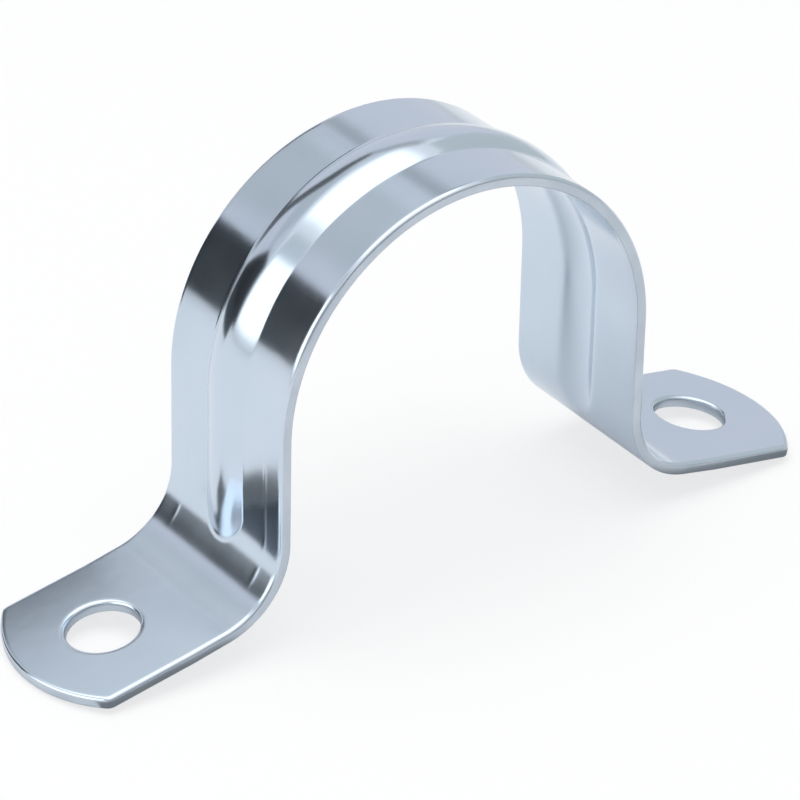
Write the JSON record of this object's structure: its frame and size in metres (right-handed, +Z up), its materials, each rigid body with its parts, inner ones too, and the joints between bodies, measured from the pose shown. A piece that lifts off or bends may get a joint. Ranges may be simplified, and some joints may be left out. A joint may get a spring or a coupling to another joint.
{
  "type": "conduit strap",
  "caption": "Arched strap of ribbed sheet steel with a sloping foot and screw hole at each end, which holds a conduit against a wall.",
  "frame": {"origin": "below the middle of the arch, level with the lowest points of the two feet", "axes": "+X along the strap's length, from one foot to the other; +Y along the conduit's axis, across the strip; +Z up, away from the wall"},
  "size_m": [0.0966, 0.0206, 0.0488],
  "materials": {
    "zinc_steel": "bright zinc plating, smooth, slightly blue"
  },
  "bodies": {
    "root": {"conduit_strap": "zinc_steel"}
  },
  "joints": []
}
